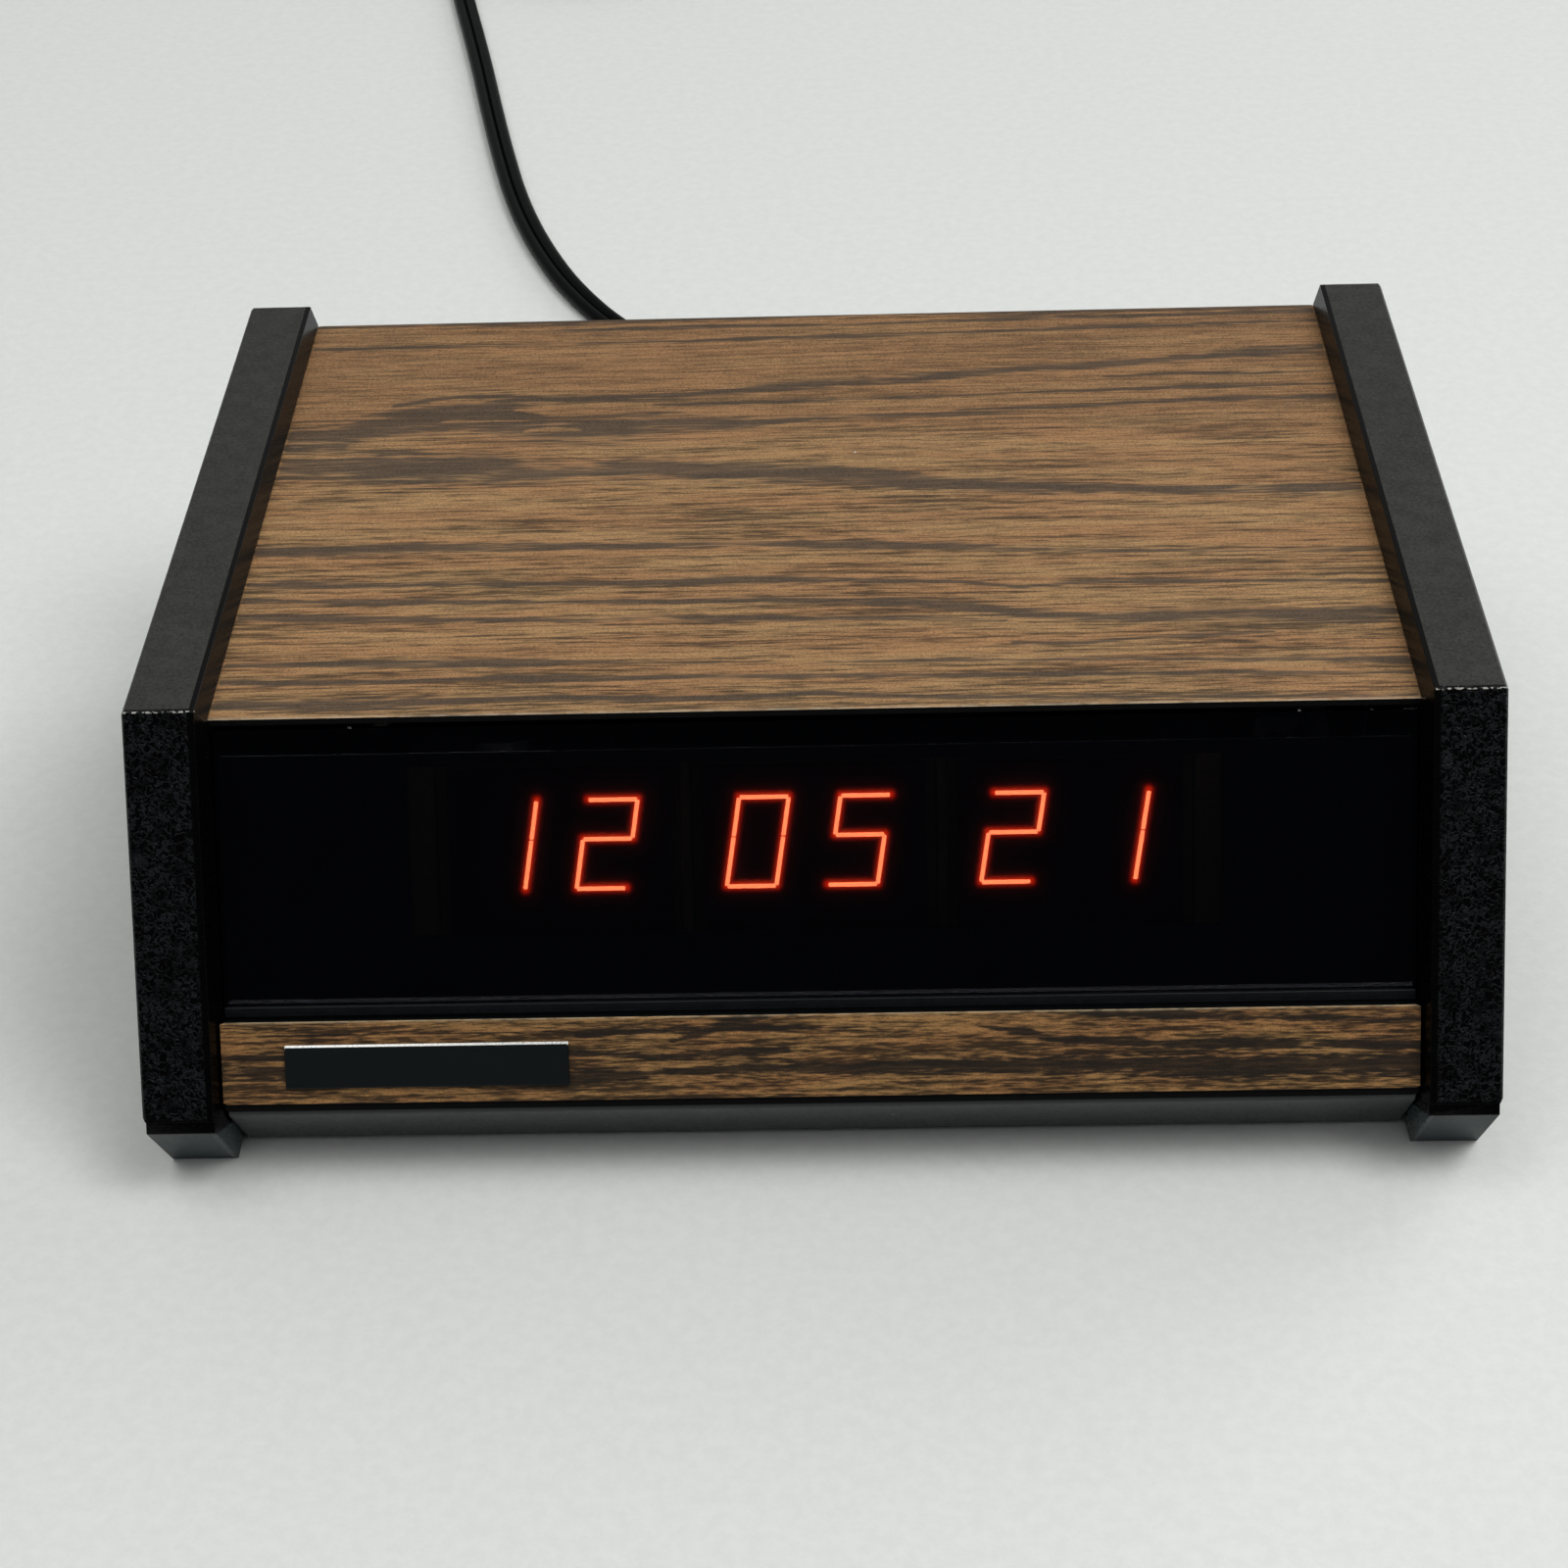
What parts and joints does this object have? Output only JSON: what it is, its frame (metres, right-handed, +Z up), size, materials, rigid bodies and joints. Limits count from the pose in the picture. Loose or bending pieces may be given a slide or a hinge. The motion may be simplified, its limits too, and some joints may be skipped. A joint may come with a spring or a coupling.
{
  "type": "digital alarm clock",
  "caption": "Low wedge-shaped shelf alarm clock with glowing digit tubes behind a dark lens, wood-grain cover, thick moulded end panels and a flat supply lead.",
  "frame": {"origin": "on the table, under the middle of the case", "axes": "+X to the right along the case, as seen from the front; +Y from the leaning face towards the rear panel; +Z up"},
  "size_m": [0.1963, 0.5483, 0.0664],
  "materials": {
    "moulded_plastic": "fine leather grain",
    "wood_clad_sheet": "satin wood-grain vinyl",
    "black_sheet": "satin paint",
    "plated_steel": "zinc plated",
    "smoked_lens": "polished",
    "dark_plate": "anodised, bare",
    "tube_glass": "polished",
    "circuit_board": "varnished laminate",
    "black_plastic": "satin",
    "capacitor_can": "sleeved",
    "iron_core": "varnished",
    "copper_winding": "enamelled",
    "paper_cone": "pressed paper",
    "button_plastic": "moulded",
    "lead_sheath": "glossy",
    "brass_blade": "bright"
  },
  "bodies": {
    "case": {"left_end_panel": "moulded_plastic", "right_end_panel": "moulded_plastic", "top_cover": "wood_clad_sheet", "base_pan": "black_sheet", "rear_panel": "black_sheet", "left_end_screw_front": "plated_steel", "left_end_screw_rear": "plated_steel", "right_end_screw_front": "plated_steel", "right_end_screw_rear": "plated_steel", "front_lens": "smoked_lens", "lens_sill": "black_plastic", "front_trim_strip": "wood_clad_sheet", "nameplate": "dark_plate", "display_shield": "black_sheet", "hours_tube": "tube_glass", "hours_tube_socket": "black_plastic", "minutes_tube": "tube_glass", "minutes_tube_socket": "black_plastic", "seconds_tube": "tube_glass", "seconds_tube_socket": "black_plastic", "display_board": "circuit_board", "left_display_bracket": "plated_steel", "right_display_bracket": "plated_steel", "main_board": "circuit_board", "board_spacer_1": "plated_steel", "board_spacer_2": "plated_steel", "board_spacer_3": "plated_steel", "board_spacer_4": "plated_steel", "chip_socket": "black_plastic", "clock_chip": "black_plastic", "filter_capacitor": "capacitor_can", "coupling_capacitor": "capacitor_can", "transformer_core": "iron_core", "transformer_winding": "copper_winding", "transformer_strap": "plated_steel", "speaker_basket": "plated_steel", "speaker_cone": "paper_cone", "speaker_magnet": "iron_core", "fast_set_switch_body": "black_plastic", "slow_set_switch_body": "black_plastic", "alarm_set_switch_body": "black_plastic", "snooze_switch_body": "black_plastic", "alarm_switch_case": "plated_steel", "format_switch_case": "plated_steel", "strain_relief": "lead_sheath", "supply_lead": "lead_sheath", "lead_coil": "lead_sheath", "coil_tie": "black_plastic", "plug_body": "lead_sheath", "plug_blade_near": "brass_blade", "plug_blade_far": "brass_blade"},
    "fast_set": {"fast_set_button": "button_plastic"},
    "slow_set": {"slow_set_button": "button_plastic"},
    "alarm_set": {"alarm_set_button": "button_plastic"},
    "snooze": {"snooze_button": "button_plastic"},
    "alarm_slide": {"alarm_switch_knob": "button_plastic"},
    "format_slide": {"format_switch_knob": "button_plastic"}
  },
  "joints": [
    {"name": "fast_set_press", "type": "slide", "parent": "case", "child": "fast_set", "axis": [0, -1, 0], "range_m": [0, 0.0018], "stiffness_N_per_m": 400, "springref_m": -0.001},
    {"name": "slow_set_press", "type": "slide", "parent": "case", "child": "slow_set", "axis": [0, -1, 0], "range_m": [0, 0.0018], "stiffness_N_per_m": 400, "springref_m": -0.001},
    {"name": "alarm_set_press", "type": "slide", "parent": "case", "child": "alarm_set", "axis": [0, -1, 0], "range_m": [0, 0.0018], "stiffness_N_per_m": 400, "springref_m": -0.001},
    {"name": "snooze_press", "type": "slide", "parent": "case", "child": "snooze", "axis": [0, -1, 0], "range_m": [0, 0.0018], "stiffness_N_per_m": 400, "springref_m": -0.001},
    {"name": "alarm_slide", "type": "slide", "parent": "case", "child": "alarm_slide", "axis": [1, 0, 0], "range_m": [0, 0.004]},
    {"name": "format_slide", "type": "slide", "parent": "case", "child": "format_slide", "axis": [1, 0, 0], "range_m": [0, 0.004]}
  ]
}
